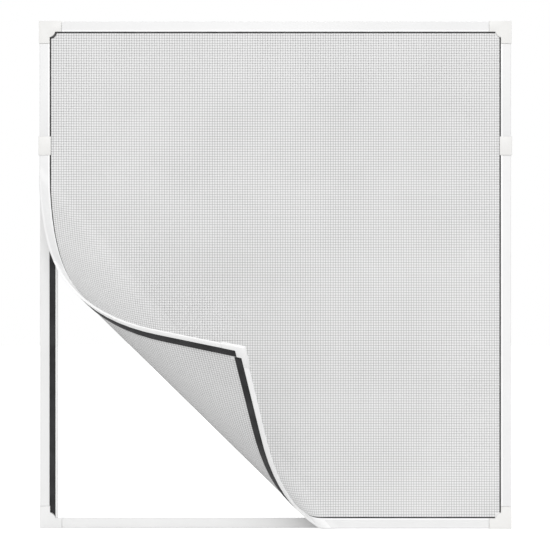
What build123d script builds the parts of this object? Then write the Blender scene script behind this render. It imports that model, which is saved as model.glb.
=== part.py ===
from build123d import *
import math
import os

# Magnetic insect screen, upright, front towards -Y, back face glued to a window frame at Y = 0.
# Sizes are millimetres and degrees. A depth is counted from the glued back towards the front.
# An inset is counted from the outer edge of the frame towards its middle.

# Whole frame
WIDTH = 1000.0
HEIGHT = 1075.0

# Layers, back to front
TAPE_THICK = 1.0
RAIL_THICK = 6.0
MAGNET_THICK = 2.0
MESH_THICK = 0.6
FLANGE_THICK = 2.4
BEAD_THICK = 1.5

# Base rails: side rails hold their magnet strip in an open groove, cross rails in a closed tunnel
SIDE_FACE = 20.4
GROOVE_MOUTH = 12.7
LIP_WIDTH = 4.2
LIP_DROP = 0.8
STRIP_UNDER_FACE = 7.2
STRIP_UNDER_LIP = 1.2
STRIP_THICK = 2.0
STRIP_COVER = 1.4
CROSS_WIDTH = 21.4
CROSS_STRIP_WIDTH = 10.6
CROSS_STRIP_INSET = 8.4
TAPE_WIDTH = 15.0
RAIL_ROUND = 1.6

# Edging of the screen
EDGING_WIDTH = 21.9
EDGING_RIM = 9.5
EDGING_ROUND = 1.8
EDGING_INNER_ROUND = 0.4
EDGING_LIP = 3.7
EDGING_LIP_RISE = 0.4
MAGNET_WIDTH = 14.6
MAGNET_SETBACK = 10.0
MAGNET_GAP = 2.6
BEAD_WIDTH = 2.6

# Threads of the mesh, as ridges: upright ones on its front, level ones on its back
THREAD_PITCH = 10.7
THREAD_WIDTH = 1.5
THREAD_RISE = 0.3
THREAD_MARGIN = 1.5

# Corner caps and the two straight connectors
CORNER_LEG = 46.6
CORNER_PROUD = 0.8
CAP_PROUD = 0.6
LOBE_SIZE = 11.6
LOBE_BULGE = 7.4
CAP_ROUND = 2.5
CONNECTOR_LENGTH = 39.5
CONNECTOR_ABOVE_LIFT = 10.5
CONNECTOR_WALL = 2.0
CONNECTOR_FRONT = 1.3

# Clearances, and the glue line between the mesh and what is laid on it
FIT = 0.15
SEAM = 0.6
GLUE = 0.04

# Peeled corner, at the lower left
LIFT_LEFT = 781.0
LIFT_BOTTOM = 641.5
LIFT_RADIUS_LEFT = 42.4
LIFT_RADIUS_BOTTOM = 30.3
LIFT_TURN = 45.0
CURL_RADIUS_LEFT = 270.0
CURL_RADIUS_BOTTOM = 29.7
CURL_TURN = 45.0
FLAP_RADIUS_LEFT = 272.5
FLAP_RADIUS_BOTTOM = 279.7
FLAP_TURN = 45.0
FACET_TURN = 5.0

# Places worked out from the sizes above
RAIL_FRONT = TAPE_THICK + RAIL_THICK
MAGNET_FRONT = RAIL_FRONT + MAGNET_THICK
MESH_BACK = MAGNET_FRONT + GLUE
MESH_FRONT = MESH_BACK + MESH_THICK
FLANGE_BACK = MESH_FRONT + GLUE
EDGING_FRONT = FLANGE_BACK + FLANGE_THICK
BAND_FRONT = EDGING_FRONT - EDGING_LIP_RISE
CAP_FRONT = EDGING_FRONT + CAP_PROUD
BEAD_FRONT = FLANGE_BACK + BEAD_THICK
MESH_MIDDLE = MESH_BACK + MESH_THICK / 2
STRIP_FRONT = RAIL_FRONT - STRIP_COVER - FIT
STRIP_BACK = STRIP_FRONT - STRIP_THICK
LIP_FRONT = RAIL_FRONT - LIP_DROP
SIDE_WIDTH = SIDE_FACE + GROOVE_MOUTH + LIP_WIDTH
INNER = EDGING_RIM + FIT
MAGNET_INNER = INNER + MAGNET_WIDTH
MAGNET_END = INNER + MAGNET_SETBACK
BEAD_OUTER = EDGING_WIDTH + FIT
BEAD_INNER = BEAD_OUTER + BEAD_WIDTH
LOBE_END = EDGING_WIDTH + LOBE_SIZE
LEFT, RIGHT = -WIDTH / 2, WIDTH / 2
BOTTOM = -CROSS_WIDTH / 2
TOP = BOTTOM + HEIGHT
JOINT_Z = BOTTOM + LIFT_LEFT + CONNECTOR_ABOVE_LIFT + CONNECTOR_LENGTH / 2
FRONT_WAY = Vector(0, -1, 0)


def side_point(side, inset, depth, along):
    """A point near one side of the frame, by its inset, its depth and its place along that side."""
    if side == "left":
        return Vector(LEFT + inset, -depth, along)
    if side == "right":
        return Vector(RIGHT - inset, -depth, along)
    if side == "bottom":
        return Vector(along, -depth, BOTTOM + inset)
    return Vector(along, -depth, TOP - inset)


def bar(side, section, start, end):
    """A straight bar along one side, with a section of (inset, depth) corners."""
    face = Face(Wire.make_polygon([side_point(side, i, d, start) for i, d in section]))
    way = side_point(side, 0, 0, end) - side_point(side, 0, 0, start)
    return Solid.extrude(face, way)


def rectangle(inset_0, inset_1, depth_0, depth_1):
    """The corners of a plain rectangular section."""
    return [(inset_0, depth_0), (inset_1, depth_0), (inset_1, depth_1), (inset_0, depth_1)]


def span(side, margin):
    """Start and end along a side, both drawn in from the frame's outer edge by a margin."""
    if side in ("left", "right"):
        return BOTTOM + margin, TOP - margin
    return LEFT + margin, RIGHT - margin


# Base frame


def side_rail_section():
    """Outer face, groove with undercut sides for the magnet strip, and inner lip."""
    mouth_end = SIDE_FACE + GROOVE_MOUTH
    groove_start = SIDE_FACE - STRIP_UNDER_FACE - FIT
    groove_end = mouth_end + STRIP_UNDER_LIP + FIT
    cover_back = RAIL_FRONT - STRIP_COVER
    return [
        (0, TAPE_THICK),
        (SIDE_WIDTH, TAPE_THICK),
        (SIDE_WIDTH, LIP_FRONT),
        (mouth_end, LIP_FRONT),
        (mouth_end, cover_back),
        (groove_end, cover_back),
        (groove_end, STRIP_BACK),
        (groove_start, STRIP_BACK),
        (groove_start, cover_back),
        (SIDE_FACE, cover_back),
        (SIDE_FACE, RAIL_FRONT),
        (RAIL_ROUND, RAIL_FRONT),
        (0, RAIL_FRONT - RAIL_ROUND),
    ]


def cross_rail_section():
    """Plain bar with its outer front edge broken."""
    return [
        (0, TAPE_THICK),
        (CROSS_WIDTH, TAPE_THICK),
        (CROSS_WIDTH, RAIL_FRONT),
        (RAIL_ROUND, RAIL_FRONT),
        (0, RAIL_FRONT - RAIL_ROUND),
    ]


def corner_outline(right, top, outer, inner, leg, lobe):
    """The L-shaped outline of a corner piece, with an optional bulge in its inner angle."""

    def at(across, up):
        x = RIGHT - across if right else LEFT + across
        z = TOP - up if top else BOTTOM + up
        return Vector(x, 0, z)

    corners = [at(inner, leg), at(outer, leg), at(outer, outer), at(leg, outer), at(leg, inner)]
    edges = [Edge.make_line(a, b) for a, b in zip(corners, corners[1:])]
    if not lobe:
        edges.append(Edge.make_line(at(leg, inner), at(inner, inner)))
        edges.append(Edge.make_line(at(inner, inner), at(inner, leg)))
        return Wire(edges)
    end, bulge = inner + lobe, inner + LOBE_BULGE
    edges.append(Edge.make_line(at(leg, inner), at(end, inner)))
    edges.append(Edge.make_three_point_arc(at(end, inner), at(bulge, bulge), at(inner, end)))
    edges.append(Edge.make_line(at(inner, end), at(inner, leg)))
    return Wire(edges)


def plate(outline, depth_0, depth_1):
    """A flat plate from an outline in the glued plane, between two depths."""
    base = Face(outline).moved(Location(FRONT_WAY * depth_0))
    return Solid.extrude(base, FRONT_WAY * (depth_1 - depth_0))


def base_corner(right, top, gap=0.0):
    """Corner cap of the base frame, or the room that it needs when a gap is given."""
    outline = corner_outline(right, top, -CORNER_PROUD - gap, CROSS_WIDTH + gap, CORNER_LEG + gap, LOBE_SIZE)
    cap = plate(outline, TAPE_THICK - gap, RAIL_FRONT + gap)
    if gap:
        return cap
    outer = LEFT - CORNER_PROUD if not right else RIGHT + CORNER_PROUD
    upright = cap.edges().filter_by(Axis.Y).filter_by_position(Axis.X, outer - FIT, outer + FIT)
    level = BOTTOM - CORNER_PROUD if not top else TOP + CORNER_PROUD
    return cap.fillet(CAP_ROUND, upright.filter_by_position(Axis.Z, level - FIT, level + FIT))


def side_base(side):
    """Side rail and its magnet strip, both cut back round the corner caps."""
    start, end = span(side, CROSS_WIDTH + SEAM)
    rail = bar(side, side_rail_section(), start, end)
    outer = SIDE_FACE - STRIP_UNDER_FACE
    inner = SIDE_FACE + GROOVE_MOUTH + STRIP_UNDER_LIP
    strip = bar(side, rectangle(outer, inner, STRIP_BACK, STRIP_FRONT), start, end)
    for top in (False, True):
        room = base_corner(side == "right", top, SEAM)
        rail -= room
        strip -= room
    return rail, strip


def cross_base(side):
    """Cross rail with a closed tunnel, and the magnet strip inside it."""
    start, end = span(side, CORNER_LEG + SEAM)
    strip_end = CROSS_STRIP_INSET + CROSS_STRIP_WIDTH
    room = rectangle(CROSS_STRIP_INSET - FIT, strip_end + FIT, STRIP_BACK, STRIP_FRONT + FIT)
    rail = bar(side, cross_rail_section(), start, end) - bar(side, room, start, end)
    strip = bar(side, rectangle(CROSS_STRIP_INSET, strip_end, STRIP_BACK, STRIP_FRONT), start, end)
    return rail, strip


def adhesive_tape(side):
    """Adhesive tape behind one rail."""
    width = CROSS_WIDTH if side in ("bottom", "top") else SIDE_WIDTH
    inset = (width - TAPE_WIDTH) / 2
    start, end = span(side, CORNER_LEG + SEAM)
    return bar(side, rectangle(inset, inset + TAPE_WIDTH, 0, TAPE_THICK), start, end)


# Sections of the screen's edge


def edging_section():
    """White edging: a full-depth rim outside, and a flange with a raised inner lip over the mesh."""
    return [
        (0, RAIL_FRONT),
        (EDGING_RIM, RAIL_FRONT),
        (EDGING_RIM, FLANGE_BACK),
        (EDGING_WIDTH, FLANGE_BACK),
        (EDGING_WIDTH, EDGING_FRONT - EDGING_INNER_ROUND),
        (EDGING_WIDTH - EDGING_INNER_ROUND, EDGING_FRONT),
        (EDGING_WIDTH - EDGING_LIP, EDGING_FRONT),
        (EDGING_WIDTH - EDGING_LIP - EDGING_LIP_RISE, BAND_FRONT),
        (EDGING_ROUND, BAND_FRONT),
        (0, BAND_FRONT - EDGING_ROUND),
    ]


def magnet_section():
    """Magnet tape on the back of the mesh."""
    return rectangle(INNER, MAGNET_INNER, RAIL_FRONT, MAGNET_FRONT)


def bead_section():
    """Dark bead that holds the mesh along the edging's inner side."""
    return rectangle(BEAD_OUTER, BEAD_INNER, FLANGE_BACK, BEAD_FRONT)


# The peeled corner rolls up in stretches. Each is part of a cone, with its own radius at either edge.
# The last stretch ends in a flat flap.


class Ruling:
    """A straight line of the rolled sheet, with the apex of its cone, in the flat sheet and in space."""

    def __init__(self, apex_flat, apex, flat, way, normal):
        self.apex_flat = apex_flat
        self.apex = apex
        self.flat = flat
        self.way = way
        self.normal = normal

    def reach(self, side, inset):
        """Distance along the ruling from its apex to a line of the sheet's edge."""
        if side == "left":
            return (LEFT + inset - self.apex_flat.X) / self.flat.X
        return (BOTTOM + inset - self.apex_flat.Z) / self.flat.Z

    def point(self, side, inset, depth):
        """Where the ruling crosses a line of the sheet's edge, at a depth through the sheet."""
        return self.apex + self.way * self.reach(side, inset) + self.normal * (depth - MESH_MIDDLE)

    def slid(self, distance):
        """The same ruling, with its apex moved along it."""
        apex_flat = self.apex_flat + self.flat * distance
        return Ruling(apex_flat, self.apex + self.way * distance, self.flat, self.way, self.normal)

    def rolled(self, lean, turn):
        """The ruling after the sheet has turned round a cone of that half angle, towards the corner."""
        spindle = Axis((0, 0, 0), self.way * math.cos(lean) + self.normal * math.sin(lean))
        fan = Axis((0, 0, 0), FRONT_WAY)
        flat = self.flat.rotate(fan, turn * math.sin(lean))
        way, normal = self.way.rotate(spindle, turn), self.normal.rotate(spindle, turn)
        return Ruling(self.apex_flat, self.apex, flat, way, normal)


def stretch(first, radius_left, radius_bottom, turn):
    """Rulings of one stretch, whose radius changes evenly from the left edge to the bottom edge."""
    chord = first.reach("left", 0) - first.reach("bottom", 0)
    reach = chord * radius_left / (radius_left - radius_bottom)
    start = first.slid(first.reach("left", 0) - reach)
    lean = math.atan(radius_left / reach)
    count = math.ceil(turn / FACET_TURN)
    return [start.rolled(lean, turn * step / count) for step in range(count + 1)]


LIFT_START = side_point("left", 0, MESH_MIDDLE, BOTTOM + LIFT_LEFT)
LIFT_STOP = side_point("bottom", 0, MESH_MIDDLE, LEFT + LIFT_BOTTOM)
LIFT_WAY = (LIFT_START - LIFT_STOP).normalized()
LIFT_LINE = Ruling(LIFT_STOP, LIFT_STOP, LIFT_WAY, LIFT_WAY, FRONT_WAY)
LIFT = stretch(LIFT_LINE, LIFT_RADIUS_LEFT, LIFT_RADIUS_BOTTOM, LIFT_TURN)
CURL = stretch(LIFT[-1], CURL_RADIUS_LEFT, CURL_RADIUS_BOTTOM, CURL_TURN)
FLAP_BEND = stretch(CURL[-1], FLAP_RADIUS_LEFT, FLAP_RADIUS_BOTTOM, FLAP_TURN)
STRETCHES = (LIFT, CURL, FLAP_BEND)
FLAP_LINE = STRETCHES[-1][-1]
FLAT_FRAME = Plane(FLAP_LINE.apex_flat, x_dir=FLAP_LINE.flat, z_dir=FRONT_WAY)
FLAP_FRAME = Plane(FLAP_LINE.apex, x_dir=FLAP_LINE.way, z_dir=FLAP_LINE.normal)
FLAP_MOVE = FLAP_FRAME.location * FLAT_FRAME.location.inverse()


def beyond(solid, ruling, peeled):
    """The half of a flat solid on one side of a ruling: the peeled side or the side that stays down."""
    towards = FRONT_WAY.cross(ruling.flat) * (1 if peeled else -1)
    return split(solid, bisect_by=Plane(ruling.apex_flat, x_dir=ruling.flat, z_dir=towards), keep=Keep.TOP)


def rolled_up(flat, section_of):
    """A flat solid with its lower left part rolled up: the part that stays down, the bends and the flap."""
    piece = beyond(flat, LIFT_LINE, False)
    for rulings in STRETCHES:
        piece += Solid.make_loft([Wire.make_polygon(section_of(ruling)) for ruling in rulings], ruled=True)
    return piece + FLAP_MOVE * beyond(flat, FLAP_LINE, True)


def rolled_bar(side, section, start, end):
    """A bar of the screen's edge that follows the peeled corner."""

    def section_of(ruling):
        return [ruling.point(side, i, d) for i, d in section]

    return rolled_up(bar(side, section, start, end), section_of)


# Pieces of the screen


def screen_corner(right, top):
    """Corner cap of the screen: a front plate with a lobe, a rim outside and a pad behind the mesh."""
    front = corner_outline(right, top, -CORNER_PROUD, EDGING_WIDTH, CORNER_LEG, LOBE_SIZE)
    rim = corner_outline(right, top, -CORNER_PROUD, EDGING_RIM, CORNER_LEG, 0)
    low, high = span("bottom", MAGNET_INNER)
    start, end = (RIGHT, high) if right else (LEFT, low)
    section = rectangle(0, MAGNET_END - SEAM, RAIL_FRONT, MAGNET_FRONT)
    pad = bar("top" if top else "bottom", section, start, end)
    return plate(front, FLANGE_BACK, CAP_FRONT) + plate(rim, RAIL_FRONT, FLANGE_BACK) + pad


def lobe_arc(room):
    """Arc round the top left cap's lobe, at a distance from it."""
    inner, end = EDGING_WIDTH + FIT, LOBE_END + room
    bulge = EDGING_WIDTH + LOBE_BULGE + room
    return [Vector(LEFT + across, 0, TOP - up) for across, up in ((end, inner), (bulge, bulge), (inner, end))]


def bead_link():
    """Bent end of the top bead, which follows the cap's lobe down to the left bead."""
    near, far = lobe_arc(SEAM), lobe_arc(SEAM + BEAD_WIDTH)
    edges = [Edge.make_three_point_arc(*near), Edge.make_line(near[2], far[2])]
    edges += [Edge.make_three_point_arc(*far), Edge.make_line(near[0], far[0])]
    return plate(Wire(edges), FLANGE_BACK, BEAD_FRONT)


def connector(side):
    """Straight connector that hooks over the two halves of a side edging."""
    half = CONNECTOR_LENGTH / 2
    front = EDGING_FRONT + CONNECTOR_FRONT
    section = [
        (-CONNECTOR_WALL, RAIL_FRONT),
        (-FIT, RAIL_FRONT),
        (-FIT, EDGING_FRONT),
        (BEAD_INNER, EDGING_FRONT),
        (BEAD_INNER, front),
        (EDGING_ROUND - CONNECTOR_WALL, front),
        (-CONNECTOR_WALL, front - EDGING_ROUND),
    ]
    return bar(side, section, JOINT_Z - half, JOINT_Z + half)


def mesh_section(ruling):
    """Section of the mesh along a ruling, from the left edging to the bottom edging."""
    return [
        ruling.point("left", INNER, MESH_BACK),
        ruling.point("bottom", INNER, MESH_BACK),
        ruling.point("bottom", INNER, MESH_FRONT),
        ruling.point("left", INNER, MESH_FRONT),
    ]


def threads(side, across, depth_0, depth_1):
    """Evenly spaced ridges along one side, which keep clear of the corner caps' lobes."""
    margin = LOBE_END + THREAD_MARGIN
    start, end = span(side, margin)
    count = round((across - 2 * margin) / THREAD_PITCH)
    pitch = (across - 2 * margin) / count
    outer = [margin + pitch * step - THREAD_WIDTH / 2 for step in range(count + 1)]
    sections = [rectangle(inset, inset + THREAD_WIDTH, depth_0, depth_1) for inset in outer]
    return [bar(side, section, start, end) for section in sections]


def screen_mesh():
    """The insect mesh: one thin wall with threads on its front and back, plain where it is rolled."""
    start, end = span("left", INNER)
    flat = bar("left", rectangle(INNER, WIDTH - INNER, MESH_BACK, MESH_FRONT), start, end)
    root = MESH_THICK / 4
    upright = threads("left", WIDTH, MESH_FRONT - root, MESH_FRONT + THREAD_RISE)
    level = threads("bottom", HEIGHT, MESH_BACK - THREAD_RISE, MESH_BACK + root)
    return rolled_up(flat.fuse(*upright, *level), mesh_section)


def build():
    """All pieces by name."""
    pieces = {}
    for side in ("left", "right"):
        pieces["base_rail_" + side], pieces["base_magnet_" + side] = side_base(side)
    for side in ("top", "bottom"):
        pieces["base_rail_" + side], pieces["base_magnet_" + side] = cross_base(side)
    for side in ("top", "bottom", "left", "right"):
        pieces["adhesive_tape_" + side] = adhesive_tape(side)
    for right in (False, True):
        for top in (False, True):
            name = ("top_" if top else "bottom_") + ("right" if right else "left")
            pieces["base_corner_" + name] = base_corner(right, top)
            cap = screen_corner(right, top)
            peeled = not right and not top
            pieces["screen_corner_" + name] = FLAP_MOVE * cap if peeled else cap
    pieces["screen_mesh"] = screen_mesh()
    low, high = span("left", CORNER_LEG + SEAM)
    left, right = span("bottom", CORNER_LEG + SEAM)
    pieces["edging_top"] = bar("top", edging_section(), left, right)
    pieces["edging_bottom"] = rolled_bar("bottom", edging_section(), left, right)
    pieces["edging_left_upper"] = bar("left", edging_section(), JOINT_Z + FIT, high)
    pieces["edging_left_lower"] = rolled_bar("left", edging_section(), low, JOINT_Z - FIT)
    pieces["edging_right_upper"] = bar("right", edging_section(), JOINT_Z + FIT, high)
    pieces["edging_right_lower"] = bar("right", edging_section(), low, JOINT_Z - FIT)
    low, high = span("left", MAGNET_END)
    left, right = span("bottom", MAGNET_INNER + MAGNET_GAP)
    pieces["screen_magnet_left"] = rolled_bar("left", magnet_section(), low, high)
    pieces["screen_magnet_right"] = bar("right", magnet_section(), low, high)
    pieces["screen_magnet_top"] = bar("top", magnet_section(), left, right)
    pieces["screen_magnet_bottom"] = rolled_bar("bottom", magnet_section(), left, right)
    low, high = span("left", LOBE_END + SEAM)
    left, right = span("bottom", LOBE_END + SEAM)
    pieces["bead_left"] = rolled_bar("left", bead_section(), low, high - BEAD_WIDTH)
    pieces["bead_right"] = bar("right", bead_section(), low, high)
    pieces["bead_top"] = bar("top", bead_section(), left, right) + bead_link()
    pieces["bead_bottom"] = rolled_bar("bottom", bead_section(), left, right)
    for side in ("left", "right"):
        pieces["connector_" + side] = connector(side)
    return pieces


os.makedirs("parts", exist_ok=True)
for node, shape in build().items():
    export_step(shape, "parts/" + node + ".step")
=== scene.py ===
"""Looks of a magnetic insect screen with one corner peeled up, built around its CAD frame."""

import math

import bpy
from bpy.props import FloatProperty, FloatVectorProperty, PointerProperty
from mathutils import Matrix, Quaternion, Vector
from mathutils.bvhtree import BVHTree


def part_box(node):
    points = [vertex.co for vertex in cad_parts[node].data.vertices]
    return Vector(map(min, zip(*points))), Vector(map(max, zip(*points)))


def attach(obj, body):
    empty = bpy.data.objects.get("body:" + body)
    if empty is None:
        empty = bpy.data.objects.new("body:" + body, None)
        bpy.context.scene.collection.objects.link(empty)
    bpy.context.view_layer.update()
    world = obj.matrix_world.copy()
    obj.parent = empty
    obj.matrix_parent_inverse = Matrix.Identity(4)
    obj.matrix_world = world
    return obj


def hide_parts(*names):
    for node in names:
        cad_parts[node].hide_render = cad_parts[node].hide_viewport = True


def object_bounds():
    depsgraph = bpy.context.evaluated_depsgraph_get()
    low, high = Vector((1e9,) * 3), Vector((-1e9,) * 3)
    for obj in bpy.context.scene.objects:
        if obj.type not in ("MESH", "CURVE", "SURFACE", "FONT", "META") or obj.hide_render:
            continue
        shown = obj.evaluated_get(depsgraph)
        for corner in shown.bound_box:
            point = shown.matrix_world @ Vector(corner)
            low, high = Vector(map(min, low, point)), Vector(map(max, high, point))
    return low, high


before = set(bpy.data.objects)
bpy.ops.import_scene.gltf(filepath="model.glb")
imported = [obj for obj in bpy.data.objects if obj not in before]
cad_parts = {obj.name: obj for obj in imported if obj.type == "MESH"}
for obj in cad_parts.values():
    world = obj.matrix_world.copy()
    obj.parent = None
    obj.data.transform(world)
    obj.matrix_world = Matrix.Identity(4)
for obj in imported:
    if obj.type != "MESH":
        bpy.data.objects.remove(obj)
CAD_BOX = [list(corner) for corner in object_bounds()]

bl_info = {
    "name": "Magnetic insect screen",
    "version": (1, 0, 0),
    "blender": (4, 5, 0),
    "location": "3D View > Sidebar > Insect screen",
    "description": "Mesh, edging, magnets and stage of a window insect screen",
    "category": "Object",
}

MM = 0.001
FRONT = Vector((0, -1, 0))
BODY = "root"

# Places taken from the CAD frame
OUTER_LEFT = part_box("base_rail_left")[0].x
OUTER_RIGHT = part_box("base_rail_right")[1].x
OUTER_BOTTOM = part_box("base_rail_bottom")[0].z
OUTER_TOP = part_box("base_rail_top")[1].z
SHEET_INSET = OUTER_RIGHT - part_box("screen_mesh")[1].x
NET_INSET = OUTER_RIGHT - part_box("bead_right")[0].x
SHEET_BACK_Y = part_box("screen_magnet_right")[0].y
SHEET_FRONT_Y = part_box("bead_right")[1].y
SHEET_MIDDLE_Y = (SHEET_BACK_Y + SHEET_FRONT_Y) / 2
EDGING_FRONT_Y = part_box("edging_right_lower")[0].y

# Thickness of the mesh between its threads
SHEET_THICK = 0.6 * MM

# How far the outermost threads stop short of the corners, to clear the lobes of the caps
LOBE_ROOM = 9 * MM

# How close to a bead a face of the edging belongs to its inner lip, which is painted bright white as a
# painted highlight
LIP_HIGHLIGHT_REACH = 3.4 * MM

# Limits for a copy of a CAD node: doubles merged, flat triangles joined, bends shaded smooth
MERGE_UNDER = 0.002 * MM
FLAT_UNDER = math.radians(1)
SKEW_UNDER = math.radians(60)
SMOOTH_UNDER = math.radians(32)

# Pieces that keep their CAD shape with softened edges, by finish
SOFTENED = {
    "edging_plastic": (
        "edging_top",
        "edging_bottom",
        "edging_left_upper",
        "edging_left_lower",
        "edging_right_upper",
        "edging_right_lower",
    ),
    "cap_plastic": (
        "screen_corner_top_left",
        "screen_corner_top_right",
        "screen_corner_bottom_left",
        "screen_corner_bottom_right",
        "connector_left",
        "connector_right",
    ),
    "magnet_rubber": (
        "screen_magnet_left",
        "screen_magnet_bottom",
        "screen_magnet_top",
        "screen_magnet_right",
        "base_magnet_left",
        "base_magnet_right",
    ),
    "bead_rubber": ("bead_left", "bead_bottom", "bead_top", "bead_right"),
    "base_plastic": (
        "base_rail_left",
        "base_rail_right",
        "base_rail_top",
        "base_rail_bottom",
        "base_corner_top_left",
        "base_corner_top_right",
        "base_corner_bottom_left",
        "base_corner_bottom_right",
    ),
}
SOFT_EDGES = {
    "edging_plastic": 0.25 * MM,
    "cap_plastic": 0.7 * MM,
    "magnet_rubber": 0.2 * MM,
    "bead_rubber": 0.5 * MM,
    "base_plastic": 0.35 * MM,
}
SOFT_SEGMENTS = 2

# Pieces of the lifted corner, with how far out to the front their plastic is painted bright white as a
# painted highlight
LIFTED_HIGHLIGHT = {
    "edging_left_lower": 140 * MM,
    "edging_bottom": 17 * MM,
    "screen_corner_bottom_left": 17 * MM,
}

# Hidden pieces that stay as the CAD has them
PLAIN = {
    "magnet_rubber": ("base_magnet_top", "base_magnet_bottom"),
    "adhesive_foam": (
        "adhesive_tape_left",
        "adhesive_tape_right",
        "adhesive_tape_top",
        "adhesive_tape_bottom",
    ),
}

# Finishes: start of their names, part of the noise that a tint runs over, and how they vary and shine
FINISH = "finish_"
TINT_RANGE = (0.3, 0.7)
PLASTIC_CLOUDING = 0.015
PLASTIC_SWING = 0.06
DULL_SPECULAR = 0.3
CLOTH_SHEEN = 0.05
WHITE = (1, 1, 1, 1)


def colour(name, text, value):
    """A colour that a user can change."""
    return FloatVectorProperty(
        name=name, description=text, default=value, size=3, min=0, max=1, subtype="COLOR"
    )


def length(name, text, millimetres):
    """A length that a user can change."""
    return FloatProperty(name=name, description=text, default=millimetres * MM, min=0, unit="LENGTH")


def angle(name, text, degrees):
    """An angle that a user can change."""
    return FloatProperty(name=name, description=text, default=math.radians(degrees), unit="ROTATION")


def power(name, text, value):
    """A strength of light that a user can change."""
    return FloatProperty(name=name, description=text, default=value, min=0)


class SCREEN_PG_peel(bpy.types.PropertyGroup):
    """Shape of the peeled corner, as in the CAD."""

    lift_left: length("Lift, left", "Height on the left edge where the sheet leaves the base", 781)
    lift_bottom: length("Lift, bottom", "Distance on the bottom edge where the sheet leaves the base", 641.5)
    lift_radius_left: length("Lift radius, left", "First radius at the left edge", 42.4)
    lift_radius_bottom: length("Lift radius, bottom", "First radius at the bottom edge", 30.3)
    lift_turn: angle("Lift turn", "Turn of the first stretch", 45)
    curl_radius_left: length("Curl radius, left", "Radius of the curl at the left edge", 270)
    curl_radius_bottom: length("Curl radius, bottom", "Radius of the curl at the bottom edge", 29.7)
    curl_turn: angle("Curl turn", "Turn of the curl", 45)
    flap_radius_left: length("Flap radius, left", "Radius of the flap's bend at the left edge", 272.5)
    flap_radius_bottom: length("Flap radius, bottom", "Radius of the flap's bend at the bottom edge", 279.7)
    flap_turn: angle("Flap turn", "Turn of the flap's bend", 45)


class SCREEN_PG_net(bpy.types.PropertyGroup):
    """Threads of the mesh."""

    pitch: length("Pitch", "Distance from thread to thread", 5.35)
    thread_width: length("Thread width", "Width of one thread", 1.5)
    thread_rise: length("Thread rise", "How far a thread stands off the ground of the mesh", 0.28)


class SCREEN_PG_colours(bpy.types.PropertyGroup):
    """Colours of the finishes."""

    edging: colour("Edging", "White plastic of the edging", (0.85, 0.85, 0.85))
    # lip is the colour of a painted highlight: brighter white on the edging's inner lip and on the lifted
    # corner
    lip: colour("Lip", "Bright white of the edging's inner lip and of the lifted corner", (0.97, 0.97, 0.97))
    cap: colour("Caps", "White plastic of the corner caps and connectors", (0.835, 0.83, 0.815))
    base: colour("Base", "White plastic of the glued base frame", (0.83, 0.83, 0.827))
    ground: colour("Mesh ground", "Pale ground between the threads", (0.83, 0.83, 0.83))
    thread: colour("Thread", "Grey of the threads", (0.52, 0.52, 0.52))
    magnet: colour("Magnet", "Black magnet rubber", (0.018, 0.018, 0.019))
    bead: colour("Bead", "Dark bead along the edging", (0.03, 0.03, 0.03))
    foam: colour("Foam", "Adhesive foam behind the rails", (0.74, 0.73, 0.70))


class SCREEN_PG_stage(bpy.types.PropertyGroup):
    """Camera and light."""

    distance: length("Camera distance", "From the camera to the front of the edging", 2224.5)
    key: power("Key light", "Strength of the main light", 1.2)
    back: power("Back light", "Strength of the light behind the screen", 0.8)
    light_spread: angle("Light spread", "How broad both lights are", 30)
    sky: power("Surround", "Strength of the white surround as a light", 0.69)


def flat_point(x, z):
    """A point of the flat sheet."""
    return Vector((x, SHEET_MIDDLE_Y, z))


class Ruling:
    """A straight line of the rolled sheet, with the apex of its cone, in the flat sheet and in space."""

    def __init__(self, apex_flat, apex, flat, way, normal):
        self.apex_flat = apex_flat
        self.apex = apex
        self.flat = flat
        self.way = way
        self.normal = normal

    def beyond(self, point):
        """How far a point of the flat sheet lies past the ruling, on the peeled side."""
        return (point - self.apex_flat).dot(FRONT.cross(self.flat))

    def place(self, point):
        """Where a point of the flat sheet goes if the sheet stays flat from this ruling on."""
        along = (point - self.apex_flat).dot(self.flat)
        return self.apex + self.way * along + self.normal.cross(self.way) * self.beyond(point)

    def at_left(self, x):
        """Where the ruling of the flat sheet crosses an upright line."""
        return self.apex_flat + self.flat * ((x - self.apex_flat.x) / self.flat.x)

    def at_bottom(self, z):
        """Where the ruling of the flat sheet crosses a level line."""
        return self.apex_flat + self.flat * ((z - self.apex_flat.z) / self.flat.z)

    def slid(self, distance):
        """The same ruling, with its apex moved along it."""
        apex_flat = self.apex_flat + self.flat * distance
        return Ruling(apex_flat, self.apex + self.way * distance, self.flat, self.way, self.normal)

    def rolled(self, lean, turn):
        """The ruling after the sheet has turned round a cone of that half angle, towards the corner."""
        spin = Quaternion(self.way * math.cos(lean) + self.normal * math.sin(lean), turn)
        fan = Quaternion(FRONT, turn * math.sin(lean))
        return Ruling(self.apex_flat, self.apex, fan @ self.flat, spin @ self.way, spin @ self.normal)


class Stretch:
    """Part of the roll: a cone with its own radius at the left edge and at the bottom edge."""

    STEPS = 12

    def __init__(self, first, radius_left, radius_bottom, turn):
        left, bottom = first.at_left(OUTER_LEFT), first.at_bottom(OUTER_BOTTOM)
        reach = (left - bottom).length * radius_left / (radius_left - radius_bottom)
        self.first = first.slid((left - first.apex_flat).dot(first.flat) - reach)
        self.lean = math.atan(radius_left / reach)
        turns = [turn * step / self.STEPS for step in range(self.STEPS + 1)]
        self.rulings = [self.first.rolled(self.lean, part) for part in turns]

    def ruling_through(self, point):
        """The ruling of this stretch that a point of the flat sheet lies on."""
        away = point - self.first.apex_flat
        side = math.copysign(1, self.lean)
        fan = math.atan2(side * self.first.beyond(point), side * away.dot(self.first.flat))
        return self.first.rolled(self.lean, fan / math.sin(self.lean))


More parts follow.
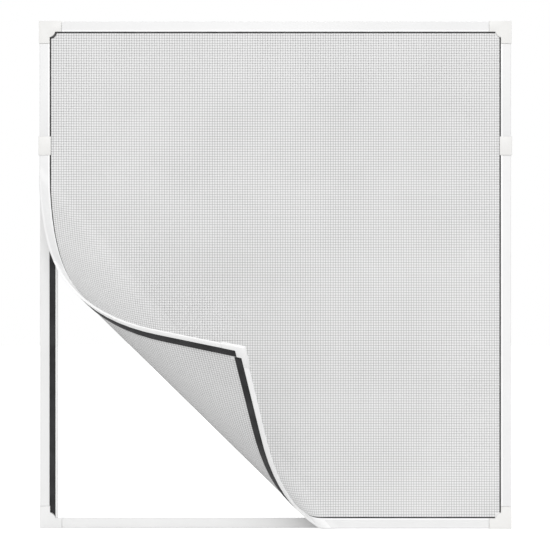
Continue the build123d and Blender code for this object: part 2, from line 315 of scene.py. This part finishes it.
class Peel:
    """The mapping from the flat sheet to the sheet with its lower left corner rolled up."""

    def __init__(self, shape):
        start = flat_point(OUTER_LEFT, OUTER_BOTTOM + shape.lift_left)
        stop = flat_point(OUTER_LEFT + shape.lift_bottom, OUTER_BOTTOM)
        way = (start - stop).normalized()
        line = Ruling(stop, stop, way, way, FRONT)
        self.stretches = []
        for name in ("lift", "curl", "flap"):
            radius_left = getattr(shape, name + "_radius_left")
            radius_bottom = getattr(shape, name + "_radius_bottom")
            self.stretches.append(Stretch(line, radius_left, radius_bottom, getattr(shape, name + "_turn")))
            line = self.stretches[-1].rulings[-1]
        self.rulings = [ruling for stretch in self.stretches for ruling in stretch.rulings[:-1]] + [line]

    def place(self, point):
        """Where a point of the flat sheet lies once the corner is rolled up, with the front normal there."""
        if self.rulings[0].beyond(point) <= 0:
            return point, FRONT
        for stretch in self.stretches:
            if stretch.rulings[-1].beyond(point) < 0:
                ruling = stretch.ruling_through(point)
                return ruling.place(point), ruling.normal
        return self.rulings[-1].place(point), self.rulings[-1].normal

    def thread(self, start, end):
        """Points along a straight flat thread once the corner is rolled up, with the front normal at each."""
        stops = {0.0, 1.0}
        for ruling in self.rulings:
            a, b = ruling.beyond(start), ruling.beyond(end)
            if a * b < 0:
                stops.add(a / (a - b))
        return [self.place(start.lerp(end, stop)) for stop in sorted(stops)]

    def sheet(self, inset):
        """Corners and faces of the whole sheet, a thin strip between each two rulings."""
        left, bottom = OUTER_LEFT + inset, OUTER_BOTTOM + inset
        right, top = OUTER_RIGHT - inset, OUTER_TOP - inset
        corners = [flat_point(right, bottom), flat_point(right, top), flat_point(left, top)]
        for ruling in self.rulings:
            corners += [ruling.place(ruling.at_left(left)), ruling.place(ruling.at_bottom(bottom))]
        tip = len(corners)
        corners.append(self.rulings[-1].place(flat_point(left, bottom)))
        faces = [(0, 1, 2, 3, 4)]
        faces += [(i, i + 2, i + 3, i + 1) for i in range(3, tip - 2, 2)]
        faces.append((tip - 2, tip, tip - 1))
        return corners, faces


def deselect():
    """Leaves nothing selected."""
    bpy.ops.object.select_all(action="DESELECT")


def activate(obj):
    """Selects one object alone."""
    deselect()
    obj.select_set(True)
    bpy.context.view_layer.objects.active = obj


def new_piece(name, corners, faces):
    """A new selected object from corners and faces."""
    mesh = bpy.data.meshes.new(name)
    mesh.from_pydata(corners, [], faces)
    mesh.update()
    piece = bpy.data.objects.new(name, mesh)
    bpy.context.scene.collection.objects.link(piece)
    activate(piece)
    return piece


def smooth_bends(piece):
    """Smooth shading over bends, with sharp corners kept."""
    activate(piece)
    bpy.ops.object.shade_smooth_by_angle(angle=SMOOTH_UNDER)


def new_finish(kind, roughness):
    """The nodes, the links and the shader of a new finish."""
    material = bpy.data.materials.new(FINISH + kind)
    material.use_nodes = True
    nodes, links = material.node_tree.nodes, material.node_tree.links
    shader = nodes["Principled BSDF"]
    shader.inputs["Roughness"].default_value = roughness
    return nodes, links, shader


def noise(nodes, links, scale, detail):
    """Noise in the object's own coordinates."""
    place = nodes.new("ShaderNodeTexCoord")
    texture = nodes.new("ShaderNodeTexNoise")
    texture.inputs["Scale"].default_value = scale
    texture.inputs["Detail"].default_value = detail
    links.new(place.outputs["Object"], texture.inputs["Vector"])
    return texture.outputs["Fac"]


def tint(nodes, links, factor, target, low, high):
    """A colour between two, led by a factor."""
    ramp = nodes.new("ShaderNodeValToRGB")
    first, last = ramp.color_ramp.elements
    first.position, last.position = TINT_RANGE
    first.color, last.color = (*low, 1), (*high, 1)
    links.new(factor, ramp.inputs["Fac"])
    links.new(ramp.outputs["Color"], target)


def spread(nodes, links, factor, target, low, high):
    """A value between two, led by a factor."""
    remap = nodes.new("ShaderNodeMapRange")
    remap.inputs["To Min"].default_value = low
    remap.inputs["To Max"].default_value = high
    links.new(factor, remap.inputs["Value"])
    links.new(remap.outputs["Result"], target)


def bumped(nodes, links, factor, shader, strength, distance):
    """Surface relief from a factor."""
    bump = nodes.new("ShaderNodeBump")
    bump.inputs["Strength"].default_value = strength
    bump.inputs["Distance"].default_value = distance
    links.new(factor, bump.inputs["Height"])
    links.new(bump.outputs["Normal"], shader.inputs["Normal"])


def shade(value, factor):
    """A colour made darker or lighter."""
    return tuple(min(1.0, c * factor) for c in value)


def moulded_plastic(kind, value, roughness):
    """Satin white plastic: faint clouding, fine grain."""
    nodes, links, shader = new_finish(kind, roughness)
    clouds = noise(nodes, links, scale=9, detail=3)
    grain = noise(nodes, links, scale=900, detail=2)
    low, high = shade(value, 1 - PLASTIC_CLOUDING), shade(value, 1 + PLASTIC_CLOUDING)
    tint(nodes, links, clouds, shader.inputs["Base Color"], low, high)
    low, high = roughness - PLASTIC_SWING, roughness + PLASTIC_SWING
    spread(nodes, links, clouds, shader.inputs["Roughness"], low, high)
    bumped(nodes, links, grain, shader, strength=0.06, distance=0.2 * MM)
    shader.inputs["Specular IOR Level"].default_value = DULL_SPECULAR


def black_rubber(kind, value):
    """Black filled rubber with a dull speckled face."""
    nodes, links, shader = new_finish(kind, roughness=0.6)
    speckle = noise(nodes, links, scale=420, detail=4)
    wear = noise(nodes, links, scale=26, detail=3)
    tint(nodes, links, wear, shader.inputs["Base Color"], low=shade(value, 0.75), high=shade(value, 1.9))
    spread(nodes, links, speckle, shader.inputs["Roughness"], low=0.5, high=0.75)
    bumped(nodes, links, speckle, shader, strength=0.25, distance=0.3 * MM)
    shader.inputs["Specular IOR Level"].default_value = DULL_SPECULAR


def foam(kind, value):
    """Adhesive foam with a cellular face."""
    nodes, links, shader = new_finish(kind, roughness=0.85)
    cells = noise(nodes, links, scale=700, detail=5)
    tint(nodes, links, cells, shader.inputs["Base Color"], low=shade(value, 0.9), high=shade(value, 1.05))
    bumped(nodes, links, cells, shader, strength=0.4, distance=0.4 * MM)


def cloth(kind, value, variation):
    """Coated yarn or the ground between yarns: soft, with faint clouding."""
    nodes, links, shader = new_finish(kind, roughness=0.8)
    clouds = noise(nodes, links, scale=5, detail=2)
    fibre = noise(nodes, links, scale=1300, detail=2)
    low, high = shade(value, 1 - variation), shade(value, 1 + variation)
    tint(nodes, links, clouds, shader.inputs["Base Color"], low, high)
    spread(nodes, links, fibre, shader.inputs["Roughness"], low=0.7, high=0.9)
    bumped(nodes, links, fibre, shader, strength=0.15, distance=0.15 * MM)
    shader.inputs["Sheen Weight"].default_value = CLOTH_SHEEN


def finish_of(kind):
    """A finish that is already made."""
    material = bpy.data.materials.get(FINISH + kind)
    if material is None:
        raise RuntimeError("no finish named " + kind)
    return material


def dress(obj, kind):
    """Gives an object one finish all over."""
    obj.data.materials.clear()
    obj.data.materials.append(finish_of(kind))


def soft_copy(node, bevel):
    """A merged copy of a CAD node, with softened edges and smooth bends."""
    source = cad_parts[node]
    copy = source.copy()
    copy.data = source.data.copy()
    copy.name = node + "_soft"
    copy.parent = None
    for key in list(copy.keys()):
        del copy[key]
    bpy.context.scene.collection.objects.link(copy)
    activate(copy)
    bpy.ops.object.mode_set(mode="EDIT")
    bpy.ops.mesh.select_all(action="SELECT")
    bpy.ops.mesh.remove_doubles(threshold=MERGE_UNDER)
    bpy.ops.mesh.tris_convert_to_quads(face_threshold=FLAT_UNDER, shape_threshold=SKEW_UNDER)
    bpy.ops.object.mode_set(mode="OBJECT")
    modifier = copy.modifiers.new("soft edges", "BEVEL")
    modifier.width = bevel
    modifier.segments = SOFT_SEGMENTS
    modifier.limit_method = "ANGLE"
    modifier.angle_limit = SMOOTH_UNDER
    bpy.ops.object.modifier_apply(modifier=modifier.name)
    smooth_bends(copy)
    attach(copy, BODY)
    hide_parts(node)
    return copy


def bead_surface():
    """A search tree over all beads."""
    corners, faces = [], []
    for node in SOFTENED["bead_rubber"]:
        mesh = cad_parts[node].data
        first = len(corners)
        corners += [vertex.co.copy() for vertex in mesh.vertices]
        faces += [[first + i for i in polygon.vertices] for polygon in mesh.polygons]
    return BVHTree.FromPolygons(corners, faces)


class SCREEN_OT_finishes(bpy.types.Operator):
    """Makes the finishes and gives them to the CAD pieces that stay as they are"""

    bl_idname = "screen.finishes"
    bl_label = "Finishes"

    def execute(self, context):
        tones = context.scene.screen_colours
        moulded_plastic("edging_plastic", tones.edging, roughness=0.42)
        # Brighter white finish that paints a highlight on the inner lip and on the lifted corner
        moulded_plastic("painted_highlight_plastic", tones.lip, roughness=0.3)
        moulded_plastic("cap_plastic", tones.cap, roughness=0.36)
        moulded_plastic("base_plastic", tones.base, roughness=0.48)
        black_rubber("magnet_rubber", tones.magnet)
        black_rubber("bead_rubber", tones.bead)
        foam("adhesive_foam", tones.foam)
        cloth("mesh_ground", tones.ground, variation=0.015)
        cloth("mesh_thread", tones.thread, variation=0.06)
        for kind, nodes in PLAIN.items():
            for node in nodes:
                dress(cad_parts[node], kind)
        return {"FINISHED"}


class SCREEN_OT_frame_pieces(bpy.types.Operator):
    """Softens the edges of the base frame, edging, caps, connectors, magnets and beads"""

    bl_idname = "screen.frame_pieces"
    bl_label = "Frame pieces"

    def execute(self, context):
        for slot, nodes in SOFTENED.items():
            for node in nodes:
                piece = soft_copy(node, SOFT_EDGES[slot])
                dress(piece, slot)
        return {"FINISHED"}


class SCREEN_OT_painted_highlight(bpy.types.Operator):
    """Paints a highlight on the edging's raised inner lip and on the lifted corner: a brighter white finish
    in place of light
    """

    bl_idname = "screen.lip"
    bl_label = "Edging lip"

    def execute(self, context):
        beads = bead_surface()
        for node in dict.fromkeys((*SOFTENED["edging_plastic"], *LIFTED_HIGHLIGHT)):
            mesh = bpy.data.objects[node + "_soft"].data
            mesh.materials.append(finish_of("painted_highlight_plastic"))
            for polygon in mesh.polygons:
                # Faces this close to a bead get the painted highlight of the inner lip
                lip = beads.find_nearest(polygon.center)[3] < LIP_HIGHLIGHT_REACH
                # Lifted faces this far out to the front get the painted highlight of the lifted corner
                lifted = node in LIFTED_HIGHLIGHT and -polygon.center.y > LIFTED_HIGHLIGHT[node]
                if lip or lifted:
                    polygon.material_index = 1
        return {"FINISHED"}


class SCREEN_OT_mesh(bpy.types.Operator):
    """Makes the mesh: a thin pale ground with a net of threads, rolled up at one corner"""

    bl_idname = "screen.mesh"
    bl_label = "Mesh"

    # Section of a thread: across as a share of its width, up as a share of its rise
    FLAT = 0.28
    PROFILE = ((-0.5, 0.0), (-FLAT, 1.0), (FLAT, 1.0), (0.5, 0.0), (FLAT, -1.0), (-FLAT, -1.0))

    def execute(self, context):
        peel = Peel(context.scene.screen_peel)
        ground = self.ground(peel)
        net = self.net(peel, context.scene.screen_net)
        return {"FINISHED"}

    @staticmethod
    def ground(peel):
        """The sheet between the threads."""
        ground = new_piece("mesh_ground", *peel.sheet(SHEET_INSET))
        modifier = ground.modifiers.new("thickness", "SOLIDIFY")
        modifier.thickness = SHEET_THICK
        modifier.offset = 0
        bpy.ops.object.modifier_apply(modifier=modifier.name)
        smooth_bends(ground)
        dress(ground, "mesh_ground")
        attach(ground, BODY)
        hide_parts("screen_mesh")
        return ground

    def net(self, peel, settings):
        """All threads of the mesh as one object."""
        corners, faces = [], []
        for start, end in self.lines(settings.pitch):
            self.thread(peel.thread(start, end), settings, corners, faces)
        net = new_piece("mesh_threads", corners, faces)
        smooth_bends(net)
        dress(net, "mesh_thread")
        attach(net, BODY)
        return net

    def lines(self, pitch):
        """Ends of every thread in the flat sheet, those going up and then those going across."""
        left, right = OUTER_LEFT + NET_INSET, OUTER_RIGHT - NET_INSET
        bottom, top = OUTER_BOTTOM + NET_INSET, OUTER_TOP - NET_INSET
        for x, cut in self.places(left, right, pitch):
            yield flat_point(x, bottom + cut), flat_point(x, top - cut)
        for z, cut in self.places(bottom, top, pitch):
            yield flat_point(left + cut, z), flat_point(right - cut, z)

    @staticmethod
    def places(low, high, pitch):
        """Where the threads lie between two sides, and how much each is cut back at both ends."""
        count = round((high - low) / pitch)
        for step in range(1, count):
            place = low + (high - low) * step / count
            yield place, LOBE_ROOM if min(place - low, high - place) < LOBE_ROOM else 0.0

    def thread(self, points, settings, corners, faces):
        """Adds one thread with a flattened six-sided section along its points."""
        sides = len(self.PROFILE)
        first = len(corners)
        for i, (point, normal) in enumerate(points):
            before = points[max(0, i - 1)][0]
            after = points[min(len(points) - 1, i + 1)][0]
            across = (after - before).cross(normal).normalized()
            for out, up in self.PROFILE:
                rise = up * (SHEET_THICK / 2 + settings.thread_rise)
                corners.append(point + across * (out * settings.thread_width) + normal * rise)
        for i in range(len(points) - 1):
            a, b = first + i * sides, first + (i + 1) * sides
            for k in range(sides):
                n = (k + 1) % sides
                faces.append((a + k, a + n, b + n, b + k))
        last = first + (len(points) - 1) * sides
        faces.append(tuple(first + k for k in reversed(range(sides))))
        faces.append(tuple(last + k for k in range(sides)))


class SCREEN_OT_stage(bpy.types.Operator):
    """Makes the pale floor, the light and the camera"""

    bl_idname = "screen.stage"
    bl_label = "Stage"

    # Camera: focal length and picture width in pixels, sensor in millimetres, aim and reach
    FOCAL_PIXELS = 1050
    PICTURE_PIXELS = 550
    SENSOR_WIDTH = 36
    AIM_ACROSS = -0.65 * MM
    AIM_UP = (OUTER_BOTTOM + OUTER_TOP) / 2
    CLIP_END = 50

    # Floor: size, paper, and its glow as a light and as the camera sees it
    FLOOR_RADIUS = 6
    FLOOR_SIDES = 96
    FLOOR_ROUGHNESS = 0.9
    FLOOR_LOW = (0.5, 0.5, 0.5)
    FLOOR_HIGH = (0.54, 0.54, 0.54)
    FLOOR_GLOW = 0.26
    FLOOR_SEEN = 0.8

    # Surround as the camera sees it, and where the lights come from
    SURROUND_SEEN = 1.0
    KEY_FROM = (0.0, -0.85, 0.52)
    BACK_FROM = (0.2, 0.85, 0.5)

    def execute(self, context):
        settings = context.scene.screen_stage
        self.floor()
        self.surround(context.scene, settings.sky)
        self.light("key_light", self.KEY_FROM, settings.key, settings.light_spread)
        self.light("back_light", self.BACK_FROM, settings.back, settings.light_spread)
        self.camera(context.scene, settings.distance)
        context.scene.view_settings.view_transform = "Standard"
        return {"FINISHED"}

    def floor(self):
        """A pale floor that looks white and throws a soft light back up."""
        deselect()
        place = (0, 0, CAD_BOX[0][2])
        bpy.ops.mesh.primitive_circle_add(
            vertices=self.FLOOR_SIDES, radius=self.FLOOR_RADIUS, fill_type="NGON", location=place
        )
        floor = bpy.context.object
        floor.name = "floor"
        bpy.ops.object.transform_apply(location=True, rotation=True, scale=True)
        nodes, links, shader = new_finish("floor_paper", self.FLOOR_ROUGHNESS)
        grain = noise(nodes, links, scale=3, detail=2)
        tint(nodes, links, grain, shader.inputs["Base Color"], self.FLOOR_LOW, self.FLOOR_HIGH)
        shader.inputs["Emission Color"].default_value = WHITE
        seen = nodes.new("ShaderNodeLightPath").outputs["Is Camera Ray"]
        spread(nodes, links, seen, shader.inputs["Emission Strength"], self.FLOOR_GLOW, self.FLOOR_SEEN)
        dress(floor, "floor_paper")

    def surround(self, scene, strength):
        """A white surround, dimmer as a light than it looks."""
        world = bpy.data.worlds.new("white_surround")
        world.use_nodes = True
        nodes, links = world.node_tree.nodes, world.node_tree.links
        background = nodes["Background"]
        background.inputs["Color"].default_value = WHITE
        seen = nodes.new("ShaderNodeLightPath").outputs["Is Camera Ray"]
        spread(nodes, links, seen, background.inputs["Strength"], strength, self.SURROUND_SEEN)
        scene.world = world

    @staticmethod
    def light(name, place, strength, breadth):
        """A broad soft light from one direction."""
        data = bpy.data.lights.new(name, "SUN")
        data.energy = strength
        data.angle = breadth
        lamp = bpy.data.objects.new(name, data)
        bpy.context.scene.collection.objects.link(lamp)
        lamp.rotation_euler = Vector(place).to_track_quat("Z", "Y").to_euler()

    def camera(self, scene, distance):
        """A camera straight in front of the screen."""
        data = bpy.data.cameras.new("photo_camera")
        data.sensor_width = self.SENSOR_WIDTH
        data.lens = self.SENSOR_WIDTH * self.FOCAL_PIXELS / self.PICTURE_PIXELS
        data.clip_end = self.CLIP_END
        camera = bpy.data.objects.new("photo_camera", data)
        scene.collection.objects.link(camera)
        camera.location = (self.AIM_ACROSS, EDGING_FRONT_Y - distance, self.AIM_UP)
        camera.rotation_euler = (math.radians(90), 0, 0)
        scene.camera = camera


class SCREEN_PT_panel(bpy.types.Panel):
    """Lists the steps and what can be changed"""

    bl_idname = "SCREEN_PT_panel"
    bl_label = "Insect screen"
    bl_space_type = "VIEW_3D"
    bl_region_type = "UI"
    bl_category = "Insect screen"

    def draw(self, context):
        for step in STEPS:
            self.layout.operator(step.bl_idname)
        for group in GROUPS:
            box = self.layout.box()
            for name in GROUPS[group].__annotations__:
                box.prop(getattr(context.scene, group), name)


STEPS = (SCREEN_OT_finishes, SCREEN_OT_frame_pieces, SCREEN_OT_painted_highlight, SCREEN_OT_mesh, SCREEN_OT_stage)
GROUPS = {
    "screen_peel": SCREEN_PG_peel,
    "screen_net": SCREEN_PG_net,
    "screen_colours": SCREEN_PG_colours,
    "screen_stage": SCREEN_PG_stage,
}


def register():
    """Registers the settings, the steps and the panel."""
    for group, kind in GROUPS.items():
        bpy.utils.register_class(kind)
        setattr(bpy.types.Scene, group, PointerProperty(type=kind))
    for step in STEPS:
        bpy.utils.register_class(step)
    bpy.utils.register_class(SCREEN_PT_panel)


def unregister():
    """Takes back what register does."""
    bpy.utils.unregister_class(SCREEN_PT_panel)
    for step in reversed(STEPS):
        bpy.utils.unregister_class(step)
    for group, kind in GROUPS.items():
        delattr(bpy.types.Scene, group)
        bpy.utils.unregister_class(kind)


def main():
    register()
    bpy.ops.screen.finishes()
    bpy.ops.screen.frame_pieces()
    bpy.ops.screen.lip()
    bpy.ops.screen.mesh()
    bpy.ops.screen.stage()


if __name__ == "__main__":
    main()
